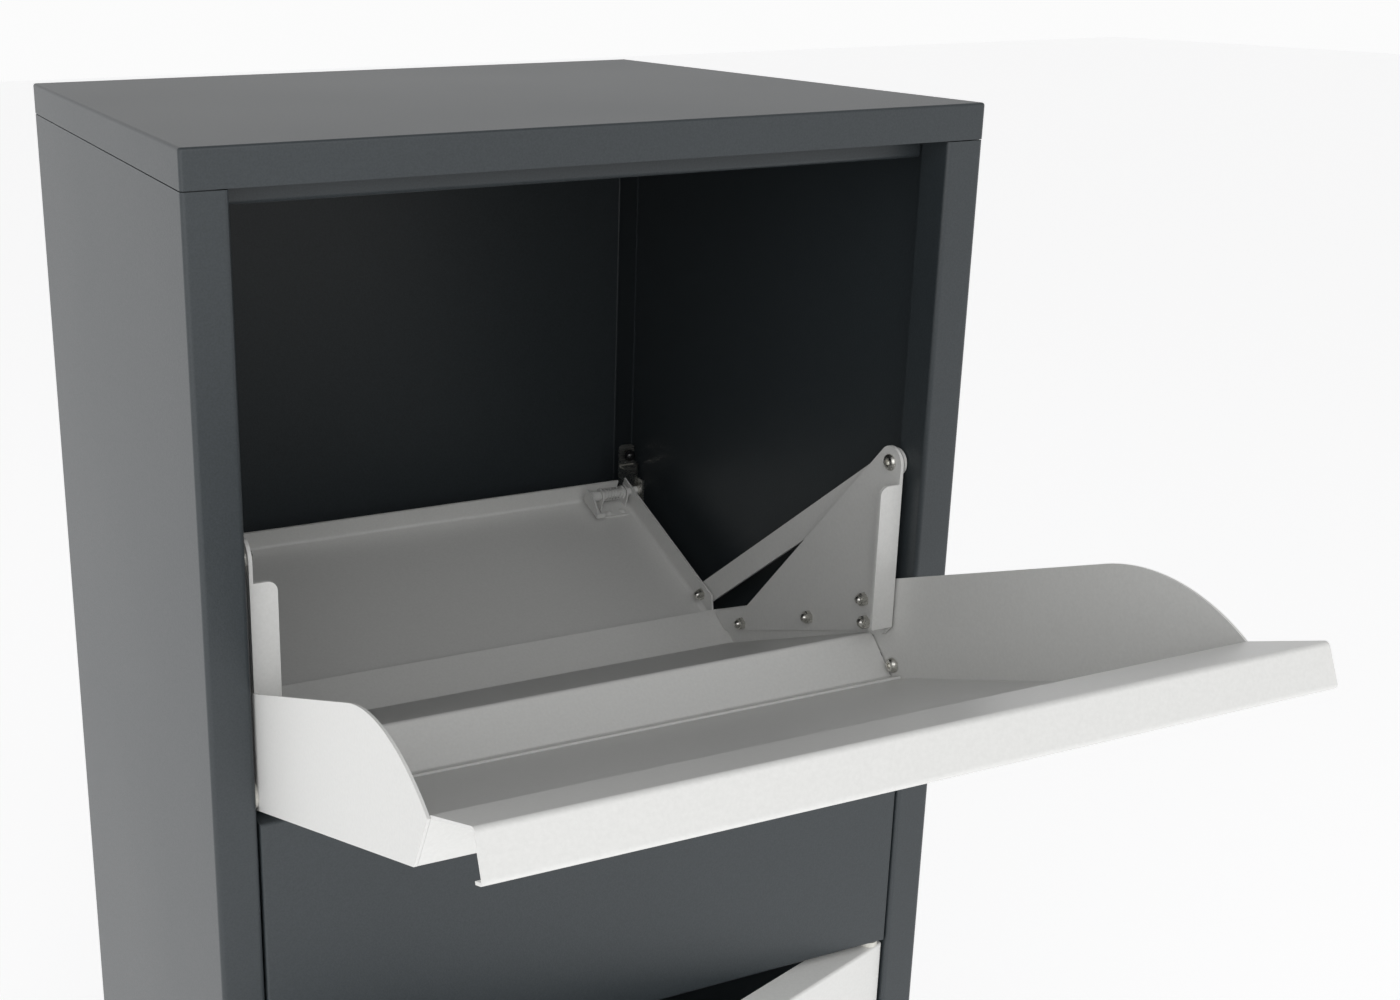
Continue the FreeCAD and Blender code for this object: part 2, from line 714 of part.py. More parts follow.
def lockCam():
    """Locking cam, unlocked and pointing up; it turns behind the left stile to lock."""
    outline = [(lockX - 8, lockHeight - 8, 7), (lockX + 8, lockHeight - 8, 7), (lockX + 8, lockHeight + 31, 5),
               (lockX - 8, lockHeight + 31, 5)]
    cam = roundedFace(outline, lambda p, q: Vector(p, front + 20.6, q)).extrude(yDir * 2.0)
    return ajar(cam)


def camScrew():
    return ajar(roundHead(lockAt(22.6), yDir, 5.0, 2.4))


# ---------- write the parts ----------

def main():
    os.makedirs("parts", exist_ok=True)
    pieces = {
        "lid": lid(),
        "top_rail": topRail(),
        "mid_panel": midPanel(),
        "plinth_panel": plinth(),
        "base_pan": basePan(),
        "back_panel": backPanel(),
        "hopper_front": hopperFront(),
        "hopper_tray": hopperTray(),
        "gusset_screws": gussetScrews(),
        "gusset_nuts": gussetNuts(),
        "arm_pivot_screws": armPivots(),
        "baffle": baffle(),
        "baffle_studs": baffleStuds(),
        "baffle_nuts": baffleNuts(),
        "bolt_housing_rivets": housingRivets(),
        "bracket_caps": bracketCaps(),
        "hopper_pivot_screws": hopperPivots(),
        "hopper_pivot_nuts": pivotNuts(),
        "hopper_pivot_washers": pivotWashers(),
        "lower_door": lowerDoor(),
        "door_stiffener": doorStiffener(),
        "door_hinge_pins": doorPins(),
        "door_hinge_washers": doorWashers(),
        "lock_barrel": lockBarrel(),
        "lock_nut": lockNut(),
        "lock_plug": lockPlug(),
        "lock_cam": lockCam(),
        "lock_cam_screw": camScrew(),
    }
    paired = {
        "side_panel": sidePanel(),
        "cheek": cheek(),
        "gusset": gusset(),
        "link_arm": linkArm(),
        "link_arm_rivet": armRivet(),
        "bolt_housing": boltHousing(),
        "bolt_rod": boltRod(),
        "bolt_lever": boltLever(),
        "bolt_spring": boltSpring(),
        "hinge_bracket": hingeBracket(),
    }
    for name, shape in paired.items():
        pieces["right_" + name] = shape
        pieces["left_" + name] = mirrored(shape)
    for name, shape in pieces.items():
        export(name, shape)
        print(name, len(shape.Solids), "solids", shape.isValid(), round(shape.Volume, 1), "mm3")


main()
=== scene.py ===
import json
import math
import bpy
import bmesh
from mathutils import Matrix, Quaternion, Vector


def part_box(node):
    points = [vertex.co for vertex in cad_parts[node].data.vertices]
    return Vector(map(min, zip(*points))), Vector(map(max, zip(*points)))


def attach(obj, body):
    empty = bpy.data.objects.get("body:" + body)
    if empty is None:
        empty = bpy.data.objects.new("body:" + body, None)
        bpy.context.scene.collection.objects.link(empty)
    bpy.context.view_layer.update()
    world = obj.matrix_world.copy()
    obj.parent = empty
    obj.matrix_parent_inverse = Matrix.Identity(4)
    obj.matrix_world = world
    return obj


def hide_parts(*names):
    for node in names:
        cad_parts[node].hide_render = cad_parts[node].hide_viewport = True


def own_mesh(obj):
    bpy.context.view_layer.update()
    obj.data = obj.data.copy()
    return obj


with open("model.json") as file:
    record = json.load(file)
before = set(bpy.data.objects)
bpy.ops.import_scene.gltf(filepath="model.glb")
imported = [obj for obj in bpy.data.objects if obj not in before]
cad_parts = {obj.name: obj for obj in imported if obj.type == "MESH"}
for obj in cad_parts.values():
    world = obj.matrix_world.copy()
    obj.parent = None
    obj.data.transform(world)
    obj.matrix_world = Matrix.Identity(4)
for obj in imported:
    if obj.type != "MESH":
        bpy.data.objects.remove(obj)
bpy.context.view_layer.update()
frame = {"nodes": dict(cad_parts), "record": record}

nodes = frame["nodes"]
mm = 0.001
print("loaded the box,", len(nodes), "parts")

# ---------- finishes ----------

def addNode(tree, kind, **values):
    node = tree.nodes.new(kind)
    for name, value in values.items():
        setattr(node, name, value)
    return node


def groupSockets(tree, inputs, outputs):
    for name, kind, value in inputs:
        socket = tree.interface.new_socket(name=name, in_out="INPUT", socket_type=kind)
        if value is not None:
            socket.default_value = value
    for name, kind in outputs:
        tree.interface.new_socket(name=name, in_out="OUTPUT", socket_type=kind)
    return tree.nodes.new("NodeGroupInput"), tree.nodes.new("NodeGroupOutput")


def makePowderGroup():
    # fine orange peel of a baked powder coat, with a slow drift in tone and sheen
    tree = bpy.data.node_groups.new("powderGrain", "ShaderNodeTree")
    source, sink = groupSockets(tree, [
        ("deepTone", "NodeSocketColor", (0.04, 0.05, 0.06, 1)),
        ("paleTone", "NodeSocketColor", (0.05, 0.06, 0.07, 1)),
        ("grainPerMetre", "NodeSocketFloat", 900.0),
        ("grainDepth", "NodeSocketFloat", 0.2),
        ("sheenLow", "NodeSocketFloat", 0.36),
        ("sheenHigh", "NodeSocketFloat", 0.46),
        ("speckAmount", "NodeSocketFloat", 0.3)],
        [("tone", "NodeSocketColor"), ("roughness", "NodeSocketFloat"), ("normal", "NodeSocketVector")])
    link = tree.links.new
    place = addNode(tree, "ShaderNodeTexCoord")
    grain = addNode(tree, "ShaderNodeTexNoise")
    grain.inputs["Detail"].default_value = 3.0
    link(place.outputs["Object"], grain.inputs["Vector"])
    link(source.outputs["grainPerMetre"], grain.inputs["Scale"])
    drift = addNode(tree, "ShaderNodeTexNoise")
    drift.inputs["Scale"].default_value = 5.0
    drift.inputs["Detail"].default_value = 2.0
    link(place.outputs["Object"], drift.inputs["Vector"])
    blendIn = addNode(tree, "ShaderNodeMapRange")
    blendIn.inputs["From Min"].default_value = 0.32
    blendIn.inputs["From Max"].default_value = 0.68
    link(grain.outputs["Fac"], blendIn.inputs["Value"])
    both = addNode(tree, "ShaderNodeMix", data_type="FLOAT")
    both.inputs[0].default_value = 0.45
    link(blendIn.outputs["Result"], both.inputs[2])
    link(drift.outputs["Fac"], both.inputs[3])
    tone = addNode(tree, "ShaderNodeMix", data_type="RGBA")
    link(both.outputs[0], tone.inputs[0])
    link(source.outputs["deepTone"], tone.inputs[6])
    link(source.outputs["paleTone"], tone.inputs[7])
    speck = addNode(tree, "ShaderNodeTexVoronoi")      # odd dust nibs trapped in the coat
    speck.inputs["Scale"].default_value = 70.0
    link(place.outputs["Object"], speck.inputs["Vector"])
    speckMask = addNode(tree, "ShaderNodeMapRange")
    speckMask.inputs["From Min"].default_value = 0.05
    speckMask.inputs["From Max"].default_value = 0.02
    link(speck.outputs["Distance"], speckMask.inputs["Value"])
    speckGain = addNode(tree, "ShaderNodeMath", operation="MULTIPLY")
    link(speckMask.outputs["Result"], speckGain.inputs[0])
    link(source.outputs["speckAmount"], speckGain.inputs[1])
    darker = addNode(tree, "ShaderNodeMix", data_type="RGBA")
    link(speckGain.outputs[0], darker.inputs[0])
    link(tone.outputs[2], darker.inputs[6])
    link(source.outputs["deepTone"], darker.inputs[7])
    link(darker.outputs[2], sink.inputs["tone"])
    sheen = addNode(tree, "ShaderNodeMapRange")
    link(both.outputs[0], sheen.inputs["Value"])
    link(source.outputs["sheenLow"], sheen.inputs["To Min"])
    link(source.outputs["sheenHigh"], sheen.inputs["To Max"])
    link(sheen.outputs["Result"], sink.inputs["roughness"])
    bump = addNode(tree, "ShaderNodeBump")
    bump.inputs["Distance"].default_value = 0.0002
    link(source.outputs["grainDepth"], bump.inputs["Strength"])
    link(grain.outputs["Fac"], bump.inputs["Height"])
    link(bump.outputs["Normal"], sink.inputs["normal"])
    return tree


def makeScratchGroup():
    # drawn or rubbed metal: long fine streaks and a patchy plate
    tree = bpy.data.node_groups.new("platedStreaks", "ShaderNodeTree")
    source, sink = groupSockets(tree, [
        ("dullTone", "NodeSocketColor", (0.5, 0.5, 0.5, 1)),
        ("brightTone", "NodeSocketColor", (0.7, 0.7, 0.7, 1)),
        ("streaksPerMetre", "NodeSocketFloat", 700.0),
        ("streakDepth", "NodeSocketFloat", 0.1),
        ("smooth", "NodeSocketFloat", 0.2),
        ("rough", "NodeSocketFloat", 0.4)],
        [("tone", "NodeSocketColor"), ("roughness", "NodeSocketFloat"), ("normal", "NodeSocketVector")])
    link = tree.links.new
    place = addNode(tree, "ShaderNodeTexCoord")
    stretch = addNode(tree, "ShaderNodeMapping")
    stretch.inputs["Scale"].default_value = (0.12, 1.0, 1.0)
    link(place.outputs["Object"], stretch.inputs["Vector"])
    streak = addNode(tree, "ShaderNodeTexNoise")
    streak.inputs["Detail"].default_value = 4.0
    link(stretch.outputs["Vector"], streak.inputs["Vector"])
    link(source.outputs["streaksPerMetre"], streak.inputs["Scale"])
    tone = addNode(tree, "ShaderNodeMix", data_type="RGBA")
    link(streak.outputs["Fac"], tone.inputs[0])
    link(source.outputs["dullTone"], tone.inputs[6])
    link(source.outputs["brightTone"], tone.inputs[7])
    link(tone.outputs[2], sink.inputs["tone"])
    gloss = addNode(tree, "ShaderNodeMapRange")
    link(streak.outputs["Fac"], gloss.inputs["Value"])
    link(source.outputs["smooth"], gloss.inputs["To Min"])
    link(source.outputs["rough"], gloss.inputs["To Max"])
    link(gloss.outputs["Result"], sink.inputs["roughness"])
    bump = addNode(tree, "ShaderNodeBump")
    bump.inputs["Distance"].default_value = 0.0001
    link(source.outputs["streakDepth"], bump.inputs["Strength"])
    link(streak.outputs["Fac"], bump.inputs["Height"])
    link(bump.outputs["Normal"], sink.inputs["normal"])
    return tree


powderGroup = makePowderGroup()
scratchGroup = makeScratchGroup()


def makeFinish(name, group, settings, metallic=0.0, specular=0.5, coat=0.0):
    material = bpy.data.materials.new(name)
    material.use_nodes = True
    tree = material.node_tree
    shader = tree.nodes["Principled BSDF"]
    effect = tree.nodes.new("ShaderNodeGroup")
    effect.node_tree = group
    for key, value in settings.items():
        effect.inputs[key].default_value = value
    tree.links.new(effect.outputs["tone"], shader.inputs["Base Color"])
    tree.links.new(effect.outputs["roughness"], shader.inputs["Roughness"])
    tree.links.new(effect.outputs["normal"], shader.inputs["Normal"])
    shader.inputs["Metallic"].default_value = metallic
    shader.inputs["Specular IOR Level"].default_value = specular
    shader.inputs["Coat Weight"].default_value = coat
    material.diffuse_color = settings.get("paleTone", settings.get("brightTone"))
    return material


anthracite = makeFinish("anthraciteCoat", powderGroup, {
    "deepTone": (0.024, 0.030, 0.034, 1), "paleTone": (0.041, 0.050, 0.056, 1),
    "grainPerMetre": 1100.0, "grainDepth": 0.35, "sheenLow": 0.36, "sheenHigh": 0.46, "speckAmount": 0.5})
whiteCoat = makeFinish("whiteCoat", powderGroup, {
    "deepTone": (0.72, 0.72, 0.705, 1), "paleTone": (0.78, 0.78, 0.765, 1),
    "grainPerMetre": 620.0, "grainDepth": 0.45, "sheenLow": 0.34, "sheenHigh": 0.42, "speckAmount": 0.25})
zincPlate = makeFinish("zincPlate", scratchGroup, {
    "dullTone": (0.56, 0.55, 0.51, 1), "brightTone": (0.80, 0.79, 0.75, 1),
    "streaksPerMetre": 900.0, "streakDepth": 0.15, "smooth": 0.2, "rough": 0.36}, metallic=1.0)
lockChrome = makeFinish("lockChrome", scratchGroup, {
    "dullTone": (0.62, 0.62, 0.62, 1), "brightTone": (0.82, 0.82, 0.83, 1),
    "streaksPerMetre": 1600.0, "streakDepth": 0.05, "smooth": 0.07, "rough": 0.16}, metallic=1.0)
blackCap = makeFinish("blackCap", powderGroup, {
    "deepTone": (0.008, 0.008, 0.009, 1), "paleTone": (0.016, 0.016, 0.017, 1),
    "grainPerMetre": 500.0, "grainDepth": 0.03, "sheenLow": 0.10, "sheenHigh": 0.18,
    "speckAmount": 0.0}, coat=0.3)
nylon = makeFinish("nylonWasher", powderGroup, {
    "deepTone": (0.58, 0.57, 0.52, 1), "paleTone": (0.72, 0.71, 0.66, 1),
    "grainPerMetre": 800.0, "grainDepth": 0.08, "sheenLow": 0.42, "sheenHigh": 0.55, "speckAmount": 0.1})

finishOf = {
    "anthracite_powder_coat": anthracite, "white_powder_coat": whiteCoat, "zinc_plated_steel": zincPlate,
    "black_cap": blackCap, "nylon_washer": nylon, "lock_chrome": lockChrome}


def coatParts():
    for part in frame["record"]["subparts"]:
        mesh = nodes[part["node"]].data
        mesh.materials.clear()
        mesh.materials.append(finishOf[part["material_slot"]])


coatParts()
print("finishes on")

# ---------- small helpers for the hardware ----------

def sharedMesh(name, mesh, body, material):
    piece = bpy.data.objects.new(name, mesh)
    bpy.context.scene.collection.objects.link(piece)
    mesh.materials.clear()
    mesh.materials.append(material)
    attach(piece, body)
    return piece


def turnedMesh(name, rings, steps=48):
    # rings are (height, radius, sides): sides 0 is round, 6 is a hexagon measured across its flats
    shape = bmesh.new()
    loops = []
    for height, radius, sides in rings:
        loop = []
        for i in range(steps):
            angle = 2 * math.pi * i / steps
            reach = radius
            if sides:
                wedge = 2 * math.pi / sides
                reach = radius / math.cos((angle % wedge) - wedge / 2)
            loop.append(shape.verts.new((reach * math.cos(angle), reach * math.sin(angle), height)))
        loops.append(loop)
    for low, high in zip(loops, loops[1:]):
        for i in range(steps):
            j = (i + 1) % steps
            shape.faces.new((low[i], low[j], high[j], high[i]))
    shape.faces.new(loops[0][::-1])
    shape.faces.new(loops[-1])
    bmesh.ops.recalc_face_normals(shape, faces=shape.faces)
    mesh = bpy.data.meshes.new(name)
    shape.to_mesh(mesh)
    shape.free()
    mesh.shade_smooth()
    mesh.set_sharp_from_angle(angle=math.radians(34))
    return mesh


def roundOver(height, radius, drop, share=1.0, count=6):
    # quarter-round crown from the wall up to the top
    rings = []
    for i in range(count):
        angle = math.pi / 2 * i / count
        rings.append((height - drop + drop * math.sin(angle),
                      radius * (1 - share) + radius * share * math.cos(angle), 0))
    return rings


def geometryTree(name, inputs):
    tree = bpy.data.node_groups.new(name, "GeometryNodeTree")
    source, sink = groupSockets(tree, inputs, [("Geometry", "NodeSocketGeometry")])
    return tree, source, sink


def socketId(tree, name):
    return next(item.identifier for item in tree.interface.items_tree
                if item.in_out == "INPUT" and item.name == name)


def bake(host, name):
    # the modifier's result as a plain mesh
    depsgraph = bpy.context.evaluated_depsgraph_get()
    mesh = bpy.data.meshes.new_from_object(host.evaluated_get(depsgraph), depsgraph=depsgraph)
    mesh.name = name
    host.modifiers.clear()
    bpy.data.objects.remove(host)
    return mesh


def scatterTree():
    tree, source, sink = geometryTree("fastenersOnSeats", [
        ("Geometry", "NodeSocketGeometry", None), ("fastener", "NodeSocketObject", None),
        ("size", "NodeSocketFloat", 1.0), ("finish", "NodeSocketMaterial", None)])
    link = tree.links.new
    shape = addNode(tree, "GeometryNodeObjectInfo")
    link(source.outputs["fastener"], shape.inputs["Object"])
    facing = addNode(tree, "GeometryNodeInputNamedAttribute", data_type="FLOAT_VECTOR")
    facing.inputs["Name"].default_value = "facing"
    turn = addNode(tree, "FunctionNodeAlignRotationToVector", axis="Z")
    link(facing.outputs["Attribute"], turn.inputs["Vector"])
    seats = addNode(tree, "GeometryNodeInstanceOnPoints")
    link(source.outputs["Geometry"], seats.inputs["Points"])
    link(shape.outputs["Geometry"], seats.inputs["Instance"])
    link(turn.outputs["Rotation"], seats.inputs["Rotation"])
    link(source.outputs["size"], seats.inputs["Scale"])
    real = addNode(tree, "GeometryNodeRealizeInstances")
    link(seats.outputs["Instances"], real.inputs["Geometry"])
    paint = addNode(tree, "GeometryNodeSetMaterial")
    link(real.outputs["Geometry"], paint.inputs["Geometry"])
    link(source.outputs["finish"], paint.inputs["Material"])
    link(paint.outputs["Geometry"], sink.inputs["Geometry"])
    return tree


fastenerTree = scatterTree()


def scatter(name, fastenerMesh, seats, body, material):
    # seats are (place, facing) pairs
    cloud = bpy.data.meshes.new(name + "Seats")
    cloud.from_pydata([seat[0] for seat in seats], [], [])
    facing = cloud.attributes.new("facing", "FLOAT_VECTOR", "POINT")
    for i, seat in enumerate(seats):
        facing.data[i].vector = seat[1]
    host = bpy.data.objects.new(name + "Host", cloud)
    bpy.context.scene.collection.objects.link(host)
    model = bpy.data.objects.new(name + "Model", fastenerMesh)
    bpy.context.scene.collection.objects.link(model)
    modifier = host.modifiers.new("fasteners", "NODES")
    modifier.node_group = fastenerTree
    modifier[socketId(fastenerTree, "fastener")] = model
    modifier[socketId(fastenerTree, "size")] = 1.0
    modifier[socketId(fastenerTree, "finish")] = material
    mesh = bake(host, name)
    bpy.data.objects.remove(model)
    return sharedMesh(name, mesh, body, material)


def islands(node):
    # box of each separate solid of a node, in a fixed order from left to right
    mesh = nodes[node].data
    shape = bmesh.new()
    shape.from_mesh(mesh)
    bmesh.ops.remove_doubles(shape, verts=shape.verts, dist=1e-6)
    left = set(shape.verts)
    found = []
    while left:
        stack = [left.pop()]
        group = [stack[0].co.copy()]
        while stack:
            vert = stack.pop()
            for edge in vert.link_edges:
                other = edge.other_vert(vert)
                if other in left:
                    left.remove(other)
                    group.append(other.co.copy())
                    stack.append(other)
        low = Vector([min(co[k] for co in group) for k in range(3)])
        high = Vector([max(co[k] for co in group) for k in range(3)])
        found.append((low, high))
    shape.free()
    return sorted(found, key=lambda ends: [round(value / mm, 2) for value in (*ends[0], *ends[1])])


# ---------- domed nuts on the gussets and the baffle ----------

domeNut = {"flats": 7.0 * mm, "hexHeight": 3.0 * mm, "collar": 3.2 * mm, "dome": 2.6 * mm, "height": 6.0 * mm}


def domeNutMesh():
    half = domeNut["flats"] / 2
    top = domeNut["hexHeight"]
    rings = [(0, half * 0.94, 0), (0.25 * mm, half, 6), (top - 0.35 * mm, half, 6), (top, half * 0.95, 0),
             (top + 0.02 * mm, domeNut["collar"], 0), (top + 0.45 * mm, domeNut["collar"], 0),
             (top + 0.6 * mm, domeNut["dome"] * 1.03, 0)]
    rings += roundOver(domeNut["height"], domeNut["dome"], domeNut["height"] - top - 0.6 * mm)
    rings.append((domeNut["height"], 0.15 * mm, 0))
    return turnedMesh("domeNut", rings)


def nutSeats(node):
    seats = []
    for low, high in islands(node):
        middle = (low + high) / 2
        side = 1 if middle.x > 0 else -1
        seat = Vector((high.x if side > 0 else low.x, middle.y, middle.z))
        seats.append((seat, Vector((-side, 0, 0))))
    return seats


for node, body in (("gusset_nuts", "hopper"), ("baffle_nuts", "baffle")):
    nuts = scatter(node + "_domed", domeNutMesh(), nutSeats(node), body, zincPlate)
    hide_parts(node)

# ---------- socket screws of the hopper's pivots and the arms ----------

pivotScrew = {"shank": 3.0 * mm, "socket": 1.5 * mm, "socketDepth": 1.6 * mm}


def socketScrewMesh(name, length, headRadius, headHeight, collars):
    # head at the top, shank going down; collars are (from, to, radius) below the head
    rings = [(-length, pivotScrew["shank"] * 0.86, 0), (-length + 0.4 * mm, pivotScrew["shank"], 0)]
    for low, high, radius in sorted(collars):
        rings += [(low, pivotScrew["shank"], 0), (low, radius, 0),
                  (high, radius, 0), (high, pivotScrew["shank"], 0)]
    rings += [(0, pivotScrew["shank"], 0), (0, headRadius * 0.97, 0), (0.2 * mm, headRadius, 0)]
    rings += roundOver(headHeight, headRadius, headHeight - 0.25 * mm, 0.5)
    deep = max(0.15 * mm, headHeight - pivotScrew["socketDepth"])
    rings += [(headHeight, pivotScrew["socket"] * 1.25, 0), (headHeight - 0.12 * mm, pivotScrew["socket"], 6),
              (deep, pivotScrew["socket"], 6)]
    return turnedMesh(name, rings)


def placedPair(node, name, body, mesh, headFace):
    # one screw on each side, mirrored by turning it half round
    pieces = []
    for low, high in islands(node):
        middle = (low + high) / 2
        side = 1 if middle.x > 0 else -1
        turn = Vector((-side, 0, 0)).to_track_quat("Z", "Y").to_matrix().to_4x4()
        copy = mesh.copy()
        copy.transform(Matrix.Translation((side * headFace, middle.y, middle.z)) @ turn)
        label = name + ("_right" if side > 0 else "_left")
        pieces.append(sharedMesh(label, copy, body, zincPlate))
    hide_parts(node)
    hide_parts(node)
    return pieces


armPivot = {"head": 4.6 * mm, "headHeight": 2.0 * mm, "rim": 5.0 * mm, "rimDepth": 0.5 * mm,
            "washer": 6.0 * mm, "washerFrom": -3.4 * mm, "washerTo": -1.9 * mm, "plate": 1.9 * mm}
hopperPivot = {"head": 4.2 * mm, "headHeight": 2.9 * mm, "proud": 0.4 * mm}


def armPivots():
    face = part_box("right_gusset")[1].x - armPivot["plate"]      # inner face of the gusset's plate
    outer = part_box("arm_pivot_screws")[1].x - face
    collars = [(-outer, -outer + armPivot["rimDepth"], armPivot["rim"]),
               (armPivot["washerFrom"], armPivot["washerTo"], armPivot["washer"])]
    mesh = socketScrewMesh("armPivot", outer - 0.1 * mm, armPivot["head"], armPivot["headHeight"], collars)
    return placedPair("arm_pivot_screws", "arm_pivot", "hopper", mesh, face)


def hopperPivots():
    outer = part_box("hopper_pivot_screws")[1].x
    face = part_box("right_cheek")[0].x - hopperPivot["proud"]
    mesh = socketScrewMesh("hopperPivot", outer - face, hopperPivot["head"], hopperPivot["headHeight"], [])
    return placedPair("hopper_pivot_screws", "hopper_pivot", "cabinet", mesh, face)


armPivots()
hopperPivots()

# ---------- button screws through the gussets ----------

buttonScrew = {"shank": 2.0 * mm, "head": 3.6 * mm, "socket": 1.1 * mm,
               "lowRise": 1.0 * mm, "fullRise": 1.6 * mm, "lowBeyond": 183.0 * mm}


def buttonScrewMesh(name, length, rise):
    head = buttonScrew["head"]
    rings = [(-length, buttonScrew["shank"] * 0.9, 0), (-length + 0.2 * mm, buttonScrew["shank"], 0),
             (0, buttonScrew["shank"], 0), (0, head * 0.98, 0)]
    rings += roundOver(rise, head, rise - 0.1 * mm, 0.6)
    rings += [(rise, buttonScrew["socket"] * 1.2, 0), (rise - 0.1 * mm, buttonScrew["socket"], 6),
              (rise * 0.35, buttonScrew["socket"], 6)]
    return turnedMesh(name, rings, 36)


def gussetScrews():
    # heads that pass close to the cabinet's sides are the low kind
    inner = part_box("right_gusset")[1].x - armPivot["plate"]
    kinds = {}
    for low, high in islands("gusset_screws"):
        middle = (low + high) / 2
        side = 1 if middle.x > 0 else -1
        tip = max(abs(low.x), abs(high.x))
        rise = buttonScrew["lowRise"] if tip > buttonScrew["lowBeyond"] else buttonScrew["fullRise"]
        seat = Vector((side * (tip - rise), middle.y, middle.z))
        kinds.setdefault((round(rise / mm, 1), round((tip - rise - inner) / mm, 1)), []).append(
            (seat, Vector((side, 0, 0))))
    for i, (kind, seats) in enumerate(sorted(kinds.items())):
        mesh = buttonScrewMesh("buttonScrew", kind[1] * mm, kind[0] * mm)
        screws = scatter("gusset_screws_%d" % (i + 1), mesh, seats, "hopper", whiteCoat)
        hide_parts("gusset_screws")


gussetScrews()

# ---------- coil springs of the spring bolts ----------

coilSpring = {"coilRadius": 4.2 * mm, "wireRadius": 0.4 * mm, "turns": 6.0, "stepsPerTurn": 28,
              "wireSides": 10, "boltTravel": 7.0 * mm}


def coilTree():
    tree, source, sink = geometryTree("wireCoil", [
        ("Geometry", "NodeSocketGeometry", None), ("coilRadius", "NodeSocketFloat", 0.004),
        ("wireRadius", "NodeSocketFloat", 0.0004), ("length", "NodeSocketFloat", 0.014),
        ("turns", "NodeSocketFloat", 6.0), ("steps", "NodeSocketInt", 28), ("sides", "NodeSocketInt", 10),
        ("finish", "NodeSocketMaterial", None)])
    link = tree.links.new
    path = addNode(tree, "GeometryNodeCurveSpiral")
    link(source.outputs["steps"], path.inputs["Resolution"])
    link(source.outputs["turns"], path.inputs["Rotations"])
    link(source.outputs["coilRadius"], path.inputs["Start Radius"])
    link(source.outputs["coilRadius"], path.inputs["End Radius"])
    link(source.outputs["length"], path.inputs["Height"])
    wire = addNode(tree, "GeometryNodeCurvePrimitiveCircle", mode="RADIUS")
    link(source.outputs["sides"], wire.inputs["Resolution"])
    link(source.outputs["wireRadius"], wire.inputs["Radius"])
    tube = addNode(tree, "GeometryNodeCurveToMesh")
    tube.inputs["Fill Caps"].default_value = True
    link(path.outputs["Curve"], tube.inputs["Curve"])
    link(wire.outputs["Curve"], tube.inputs["Profile Curve"])
    soft = addNode(tree, "GeometryNodeSetShadeSmooth")
    link(tube.outputs["Mesh"], soft.inputs["Geometry"])
    real = addNode(tree, "GeometryNodeRealizeInstances")
    link(soft.outputs["Geometry"], real.inputs["Geometry"])
    paint = addNode(tree, "GeometryNodeSetMaterial")
    link(real.outputs["Geometry"], paint.inputs["Geometry"])
    link(source.outputs["finish"], paint.inputs["Material"])
    link(paint.outputs["Geometry"], sink.inputs["Geometry"])
    return tree


wireCoilTree = coilTree()


def makeSpring(side):
    node = side + "_bolt_spring"
    low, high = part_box(node)
    middle = (low + high) / 2
    wire = coilSpring["wireRadius"]
    length = high.x - low.x - 2 * wire
    host = bpy.data.objects.new(node + "Host", bpy.data.meshes.new(node + "Host"))
    bpy.context.scene.collection.objects.link(host)
    modifier = host.modifiers.new("coil", "NODES")
    modifier.node_group = wireCoilTree
    values = {"coilRadius": coilSpring["coilRadius"], "wireRadius": wire, "length": length,
              "turns": coilSpring["turns"], "steps": coilSpring["stepsPerTurn"],
              "sides": coilSpring["wireSides"], "finish": whiteCoat}
    for name, value in values.items():
        modifier[socketId(wireCoilTree, name)] = value
    mesh = bake(host, node + "_coil")
    turn = Vector((1, 0, 0)).to_track_quat("Z", "Y").to_matrix().to_4x4()
    mesh.transform(Matrix.Translation((low.x + wire, middle.y, middle.z)) @ turn)
    spring = sharedMesh(node + "_coil", mesh, side + "_bolt", whiteCoat)
    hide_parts(node)
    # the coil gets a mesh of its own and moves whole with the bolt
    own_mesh(spring)


for side in ("left", "right"):
    makeSpring(side)
print("hardware in place")

# ---------- floor, light and camera ----------

studio = {"floorHalf": 14.0, "floorTone": (0.86, 0.86, 0.865, 1), "floorGlow": 0.50,
          "skyHorizon": 0.97, "skyTop": 0.36}


def makeFloor():
    shape = bmesh.new()
    bmesh.ops.create_grid(shape, x_segments=8, y_segments=8, size=studio["floorHalf"])
    mesh = bpy.data.meshes.new("studioFloor")
    shape.to_mesh(mesh)
    shape.free()
    floor = bpy.data.objects.new("studioFloor", mesh)
    bpy.context.scene.collection.objects.link(floor)
    material = bpy.data.materials.new("studioFloor")
    material.use_nodes = True
    shader = material.node_tree.nodes["Principled BSDF"]
    shader.inputs["Base Color"].default_value = studio["floorTone"]
    shader.inputs["Roughness"].default_value = 0.85
    shader.inputs["Specular IOR Level"].default_value = 0.2
    shader.inputs["Emission Color"].default_value = (1, 1, 1, 1)
    shader.inputs["Emission Strength"].default_value = studio["floorGlow"]
    mesh.materials.append(material)


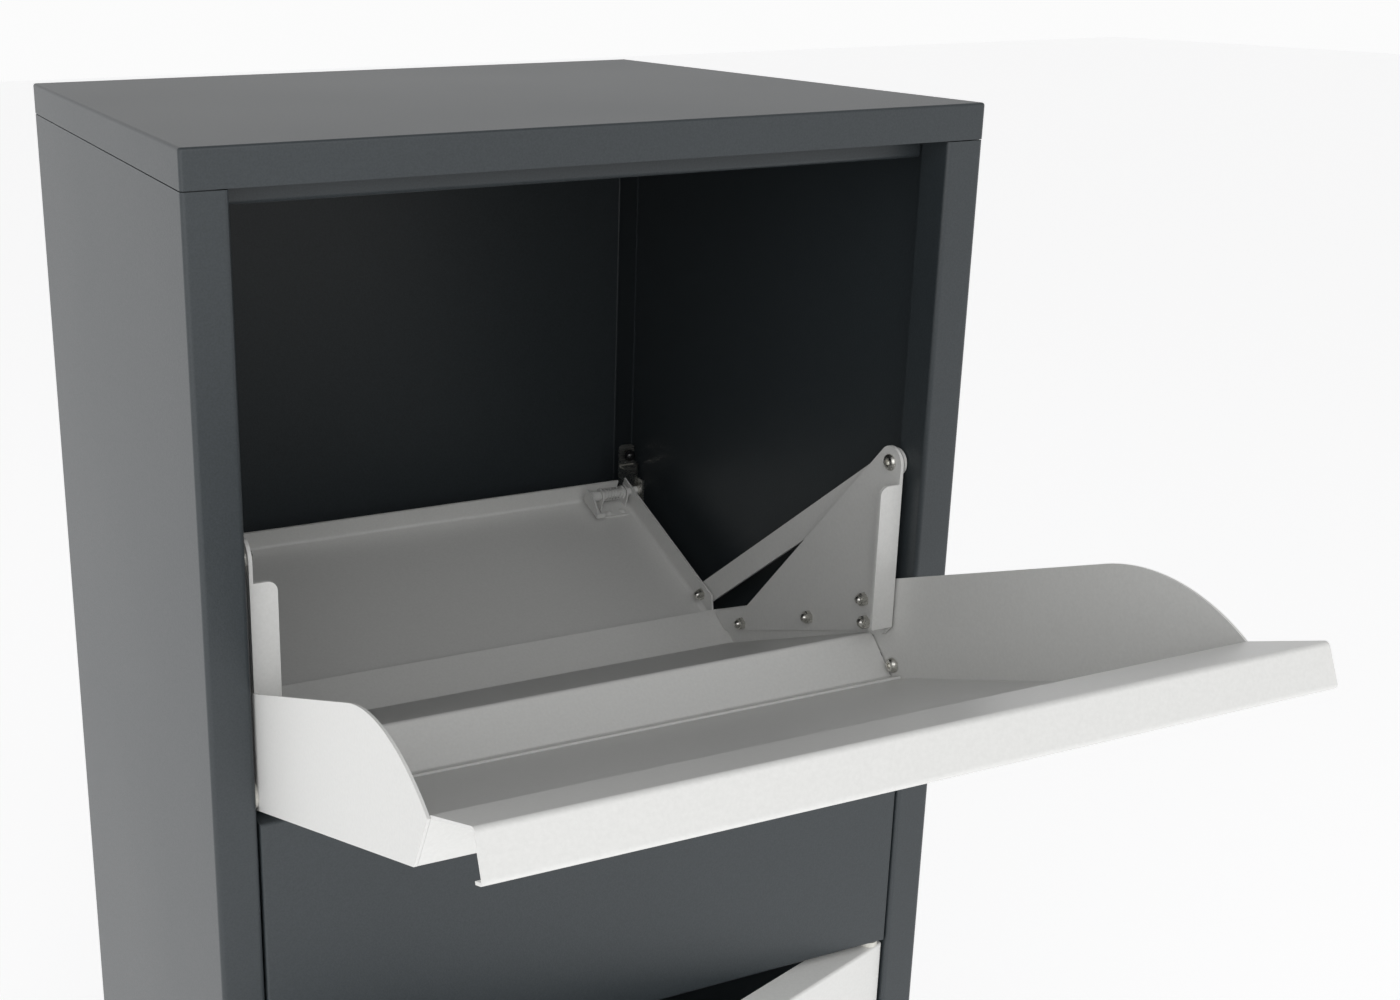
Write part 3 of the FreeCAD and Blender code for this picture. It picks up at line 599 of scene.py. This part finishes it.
def makeSky():
    world = bpy.data.worlds.new("studioSky")
    world.use_nodes = True
    tree = world.node_tree
    glow = tree.nodes["Background"]
    place = tree.nodes.new("ShaderNodeTexCoord")
    parts = tree.nodes.new("ShaderNodeSeparateXYZ")
    tree.links.new(place.outputs["Generated"], parts.inputs["Vector"])
    fade = tree.nodes.new("ShaderNodeMapRange")
    fade.inputs["From Min"].default_value = 0.0
    fade.inputs["From Max"].default_value = 0.8
    fade.inputs["To Min"].default_value = studio["skyHorizon"]
    fade.inputs["To Max"].default_value = studio["skyTop"]
    tree.links.new(parts.outputs["Z"], fade.inputs["Value"])
    tree.links.new(fade.outputs["Result"], glow.inputs["Strength"])
    glow.inputs["Color"].default_value = (1, 1, 1, 1)
    bpy.context.scene.world = world


softboxes = {
    "frontSoftbox": {"place": (-0.2, -2.6, 2.3), "aim": (0, 0, 0.8), "size": (2.6, 2.0), "watts": 16.0},
    "leftSoftbox": {"place": (-2.1, -2.0, 1.6), "aim": (0, 0, 0.8), "size": (2.4, 2.4), "watts": 18.0},
}


def makeSoftboxes():
    for name, box in softboxes.items():
        lamp = bpy.data.lights.new(name, "AREA")
        lamp.shape = "RECTANGLE"
        lamp.size, lamp.size_y = box["size"]
        lamp.energy = box["watts"]
        holder = bpy.data.objects.new(name, lamp)
        holder.location = box["place"]
        holder.rotation_mode = "QUATERNION"
        holder.rotation_quaternion = (Vector(box["aim"]) - Vector(box["place"])).to_track_quat("-Z", "Y")
        bpy.context.scene.collection.objects.link(holder)


cameraView = {"place": (-0.3621, -0.8551, 1.0988), "ahead": (0.3506, 0.8926, -0.2834), "roll": -0.72,
              "lens": 42.25, "shiftX": 0.20, "shiftY": -0.05}


def makeCamera():
    data = bpy.data.cameras.new("mainCamera")
    data.lens = cameraView["lens"]
    data.sensor_width = 36.0
    data.shift_x = cameraView["shiftX"]
    data.shift_y = cameraView["shiftY"]
    data.clip_start = 0.02
    data.clip_end = 60.0
    camera = bpy.data.objects.new("mainCamera", data)
    camera.location = cameraView["place"]
    camera.rotation_mode = "QUATERNION"
    aim = Vector(cameraView["ahead"]).to_track_quat("-Z", "Y")
    camera.rotation_quaternion = aim @ Quaternion((0, 0, 1), math.radians(cameraView["roll"]))
    bpy.context.scene.collection.objects.link(camera)
    bpy.context.scene.camera = camera


makeFloor()
makeSky()
makeSoftboxes()
makeCamera()
bpy.context.scene.view_settings.view_transform = "Standard"
print("studio ready")
